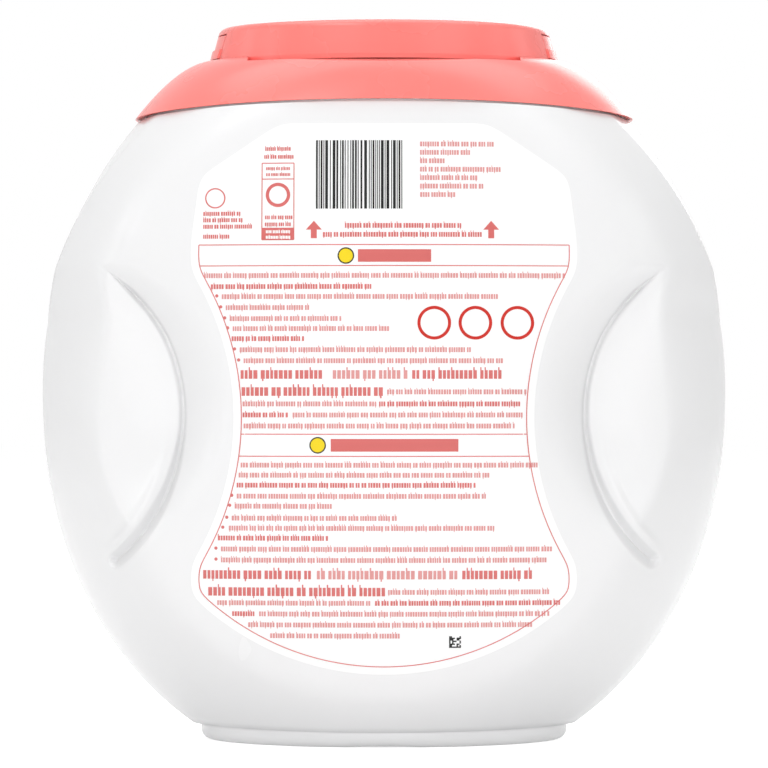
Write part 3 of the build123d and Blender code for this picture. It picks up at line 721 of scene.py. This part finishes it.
def add_grain(m, scale, strength, distance, rough_low, rough_high, rough_scale):
    """Fine surface grain and an uneven gloss, both from noise."""
    nodes, links = m.node_tree.nodes, m.node_tree.links
    shader = nodes["Principled BSDF"]
    coord = nodes.new("ShaderNodeTexCoord")
    grain = nodes.new("ShaderNodeTexNoise")
    grain.inputs["Scale"].default_value = scale
    grain.inputs["Detail"].default_value = 4
    links.new(coord.outputs["Object"], grain.inputs["Vector"])
    bump = nodes.new("ShaderNodeBump")
    bump.inputs["Strength"].default_value = strength
    bump.inputs["Distance"].default_value = distance
    links.new(grain.outputs["Fac"], bump.inputs["Height"])
    links.new(bump.outputs["Normal"], shader.inputs["Normal"])
    cloud = nodes.new("ShaderNodeTexNoise")
    cloud.inputs["Scale"].default_value = rough_scale
    cloud.inputs["Detail"].default_value = 3
    links.new(coord.outputs["Object"], cloud.inputs["Vector"])
    spread = nodes.new("ShaderNodeMapRange")
    spread.inputs["To Min"].default_value = rough_low
    spread.inputs["To Max"].default_value = rough_high
    links.new(cloud.outputs["Fac"], spread.inputs["Value"])
    links.new(spread.outputs["Result"], shader.inputs["Roughness"])
    return m


tub_plastic = add_grain(material("tub_plastic", (0.87, 0.87, 0.875), specular=0.4),
                        900, 0.04, 0.0002, 0.2, 0.3, 30)
film = add_grain(material("label_paper", (0.97, 0.97, 0.97), specular=0.35),
                 500, 0.03, 0.0001, 0.28, 0.36, 40)
closure_plastic = add_grain(material("closure_plastic", (0.97, 0.215, 0.19), specular=0.5),
                            1200, 0.05, 0.0002, 0.22, 0.32, 50)
# in the order of the ink numbers
inks = [("ink_coral", (0.68, 0.16, 0.15)), ("ink_bold", (0.68, 0.18, 0.17)),
        ("ink_pale", (0.74, 0.33, 0.32)), ("ink_dark", (0.015, 0.015, 0.015)),
        ("ink_red", (0.6, 0.03, 0.02)), ("ink_yellow", (0.9, 0.68, 0.02)),
        ("ink_white", (0.97, 0.97, 0.97))]
for ink_name, ink_color in inks:
    ink = add_grain(material(ink_name, ink_color, specular=0.3), 700, 0.03, 0.0001, 0.3, 0.4, 60)
    printed.data.materials.append(ink)
for piece in (tub, neck, inside):
    piece.data.materials.append(tub_plastic)
for piece in (label, label_edge):
    piece.data.materials.append(film)
for node in ("collar", "lid", "tab_left", "tab_right"):
    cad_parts[node].data.materials.clear()
    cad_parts[node].data.materials.append(closure_plastic)

# ---------------------------------------------------------------- pods, in mm
POD_HALF_X, POD_HALF_Y, POD_HALF_Z = 20.8, 17.3, 8.9
FILM_PLANE = 1.4
FLANGE = 0.84
BASE_POWER, LOBE_POWER, LOBE_FULLNESS, DOME_POWER = 3.4, 2.5, 2.6, 1.7
LOBE_HALF_X, LOBE_HALF_Y, LOBE_PLACE = 7.9, 12.8, 8.3
FLANGE_UNDER, LOBE_SUNK = 0.5, 0.2
# how much lower than the pod's box its chambers are, so that the crumple stays inside it
BASE_MARGIN, LOBE_MARGIN = 1.0, 0.3
RIPPLE, RIPPLE_SCALE, FINE, FINE_SCALE = 0.5, 0.16, 0.16, 0.55
POD_TURNS = 44
GEL_GRAIN = (260, 0.12, 0.0005, 0.12, 0.28, 60)
gel_base = add_grain(material("gel_base", (0.86, 0.9, 0.93), coat=0.6), *GEL_GRAIN)
gel_coral = add_grain(material("gel_coral", (0.9, 0.3, 0.27), coat=0.6), *GEL_GRAIN)
gel_blue = add_grain(material("gel_blue", (0.16, 0.42, 0.82), coat=0.6), *GEL_GRAIN)
pod_film = add_grain(material("pod_film", (0.82, 0.87, 0.9), coat=0.8),
                     400, 0.25, 0.0006, 0.1, 0.25, 90)


def dome(share, fullness):
    """Height of a full, round-shouldered dome, from 1 in the middle to 0 at the edge."""
    return np.clip(1 - np.clip(share, 0, 1) ** fullness, 0, 1) ** (1 / DOME_POWER)


def pod_mesh(name, seed):
    """One pouch: a deep base chamber, a sealed flange and two domed chambers on top."""
    verts, faces, slots = [], [], []

    def surface(half_x, half_y, centre_x, shares, heights, slot, flip, power):
        """Rings at shares of an outline, crumpled a little, with the innermost one closed."""
        base = len(verts)
        angle = np.linspace(0, 2 * math.pi, POD_TURNS + 1)[:-1]
        edge = superoval(angle, half_x, half_y, power)
        for share, height in zip(shares, heights):
            for a, r in zip(angle, edge):
                x, y = centre_x + share * r * math.sin(a), share * r * math.cos(a)
                place = (x * RIPPLE_SCALE, y * RIPPLE_SCALE, seed * 7.0 + slot)
                ripple = noise.noise(Vector(place))
                place = (x * FINE_SCALE, y * FINE_SCALE, seed * 3.0 + slot)
                fine = noise.noise(Vector(place))
                crumple = (RIPPLE * ripple + FINE * fine) * min(1, 3 * (1.02 - share))
                verts.append((x, y, height + crumple))
        for face in rings_to_faces(len(shares), POD_TURNS, flip):
            faces.append(tuple(base + i for i in face))
            slots.append(slot)
        cap = range(base, base + POD_TURNS)
        faces.append(tuple(cap) if flip else tuple(reversed(cap)))
        slots.append(slot)

    shares = np.array([0.04, 0.2, 0.36, 0.5, 0.62, 0.72, 0.79, 0.83, FLANGE])
    bulge = dome(shares / FLANGE, BASE_POWER)
    depths = FILM_PLANE - FLANGE_UNDER - (POD_HALF_Z + FILM_PLANE - BASE_MARGIN) * bulge
    surface(POD_HALF_X, POD_HALF_Y, 0, shares, depths, 0, True, BASE_POWER)
    ring_shares = [0.04, 0.4, FLANGE, 0.92, 1.0, 0.99, 0.92, FLANGE]
    ring_heights = [FILM_PLANE + step for step in (0, 0, 0, 0.1, 0, -0.4, -0.35, -FLANGE_UNDER)]
    surface(POD_HALF_X, POD_HALF_Y, 0, ring_shares, ring_heights, 1, False, BASE_POWER)
    lobe = np.array([0.05, 0.3, 0.5, 0.66, 0.78, 0.88, 0.95, 1.0])
    bulge = dome(lobe, LOBE_FULLNESS)
    heights = FILM_PLANE - LOBE_SUNK + (POD_HALF_Z - FILM_PLANE - LOBE_MARGIN) * bulge
    for side, slot in ((-1, 2), (1, 3)):
        surface(LOBE_HALF_X, LOBE_HALF_Y, side * LOBE_PLACE, lobe, heights, slot, False, LOBE_POWER)
    mesh = bpy.data.meshes.new(name)
    mesh.from_pydata([tuple(c * MM for c in v) for v in verts], [], faces)
    mesh.update()
    for paint in (gel_base, pod_film, gel_coral, gel_blue):
        mesh.materials.append(paint)
    mesh.polygons.foreach_set("material_index", slots)
    mesh.polygons.foreach_set("use_smooth", [True] * len(mesh.polygons))
    return mesh


pod_meshes = [pod_mesh(f"pod_form_{i}", i + 1) for i in range(4)]
pod_draw = random.Random(11)
for node in sorted(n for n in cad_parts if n.startswith("pod_")):
    low_corner, high_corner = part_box(node)
    pouch = bpy.data.objects.new(f"pouch_{node[4:]}", pod_draw.choice(pod_meshes))
    pouch.location = [(p + q) / 2 for p, q in zip(low_corner, high_corner)]
    pouch.rotation_euler = (0, 0, math.pi * pod_draw.choice((0, 1)))
    bpy.context.scene.collection.objects.link(pouch)
    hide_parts(node)
    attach(pouch, BODY)

# ---------------------------------------------------------------- stage and lights
scene = bpy.context.scene
scene.view_settings.view_transform = "Standard"
FLOOR_SHADE, FLOOR_GLOW = 0.85, 0.7
WORLD_FRONT, WORLD_BACK = 0.3, 0.4


def seen_ray(nodes, links):
    """One for a ray that shows the surface to the camera, directly, mirrored or through film."""
    path = nodes.new("ShaderNodeLightPath")
    seen = path.outputs["Is Camera Ray"]
    for kind in ("Is Glossy Ray", "Is Transmission Ray"):
        most = nodes.new("ShaderNodeMath")
        most.operation = "MAXIMUM"
        links.new(seen, most.inputs[0])
        links.new(path.outputs[kind], most.inputs[1])
        seen = most.outputs[0]
    return seen


def white_for_camera(m, base, strength):
    """A pale matt surface, with a glow that only the camera and reflections see."""
    nodes, links = m.node_tree.nodes, m.node_tree.links
    shader = nodes["Principled BSDF"]
    shader.inputs["Base Color"].default_value = (base, base, base, 1)
    shader.inputs["Roughness"].default_value = 0.9
    shader.inputs["Specular IOR Level"].default_value = 0.0
    glow = nodes.new("ShaderNodeEmission")
    glow.inputs["Strength"].default_value = strength
    seen = seen_ray(nodes, links)
    off = nodes.new("ShaderNodeEmission")
    off.inputs["Strength"].default_value = 0
    pick = nodes.new("ShaderNodeMixShader")
    links.new(seen, pick.inputs[0])
    links.new(off.outputs[0], pick.inputs[1])
    links.new(glow.outputs[0], pick.inputs[2])
    both = nodes.new("ShaderNodeAddShader")
    links.new(shader.outputs[0], both.inputs[0])
    links.new(pick.outputs[0], both.inputs[1])
    links.new(both.outputs[0], nodes["Material Output"].inputs["Surface"])


FLOOR_HALF = 6000
corners = [(x * FLOOR_HALF, y * FLOOR_HALF, 0) for x, y in ((-1, -1), (1, -1), (1, 1), (-1, 1))]
floor = mesh_object("floor", corners, [(0, 1, 2, 3)], smooth=False)
floor_paint = material("floor_paint", (FLOOR_SHADE,) * 3)
white_for_camera(floor_paint, FLOOR_SHADE, FLOOR_GLOW)
floor.data.materials.append(floor_paint)

# the world lights the object by direction, and is seen as plain white
world = bpy.data.worlds.new("studio")
scene.world = world
world.use_nodes = True
wn, wl = world.node_tree.nodes, world.node_tree.links
background = wn["Background"]
background.inputs["Color"].default_value = (1, 1, 1, 1)
direction = wn.new("ShaderNodeTexCoord")
split = wn.new("ShaderNodeSeparateXYZ")
spread = wn.new("ShaderNodeMapRange")
spread.inputs["From Min"].default_value = -1
spread.inputs["To Min"].default_value = WORLD_FRONT
spread.inputs["To Max"].default_value = WORLD_BACK
wl.new(direction.outputs["Generated"], split.inputs[0])
wl.new(split.outputs["Y"], spread.inputs["Value"])
wl.new(spread.outputs["Result"], background.inputs["Strength"])
seen_world = wn.new("ShaderNodeBackground")
seen_world.inputs["Color"].default_value = (1, 1, 1, 1)
seen_world.inputs["Strength"].default_value = 1.0
pick = wn.new("ShaderNodeMixShader")
wl.new(seen_ray(wn, wl), pick.inputs[0])
wl.new(background.outputs[0], pick.inputs[1])
wl.new(seen_world.outputs[0], pick.inputs[2])
wl.new(pick.outputs[0], wn["World Output"].inputs["Surface"])


def area_light(name, place, target, size, size_y, power):
    """An area lamp at a place in metres, turned to its target."""
    data = bpy.data.lights.new(name, "AREA")
    data.shape = "RECTANGLE"
    data.size, data.size_y = size, size_y
    data.energy = power
    lamp = bpy.data.objects.new(name, data)
    lamp.location = place
    lamp.rotation_euler = (Vector(target) - Vector(place)).to_track_quat("-Z", "Y").to_euler()
    bpy.context.scene.collection.objects.link(lamp)
    return lamp


MIDDLE = (0, 0, 0.11)
area_light("key", (-0.6, -1.0, 1.5), MIDDLE, 0.7, 0.7, 5.4)
area_light("fill", (0.8, -1.0, 1.3), MIDDLE, 0.7, 0.7, 2.0)
# the low lamp only fills the foot, so the plastic doesn't mirror it
low = area_light("low", (0.0, -1.2, 0.1), (0, 0, 0.02), 0.5, 0.2, 4.8)
low.visible_glossy = False
area_light("side_left", (-1.25, -0.35, 0.4), MIDDLE, 0.3, 1.1, 1.4)
area_light("side_right", (1.25, -0.35, 0.35), MIDDLE, 0.3, 1.0, 1.0)
area_light("rim_left", (-1.1, 0.15, 0.4), MIDDLE, 0.25, 0.7, 0.8)
area_light("rim_right", (1.1, 0.15, 0.4), MIDDLE, 0.25, 0.7, 0.7)
area_light("top", (0.0, 0.05, 0.95), MIDDLE, 1.0, 0.5, 3.2)
area_light("back", (0.3, 1.4, 0.8), MIDDLE, 1.0, 0.8, 6.0)
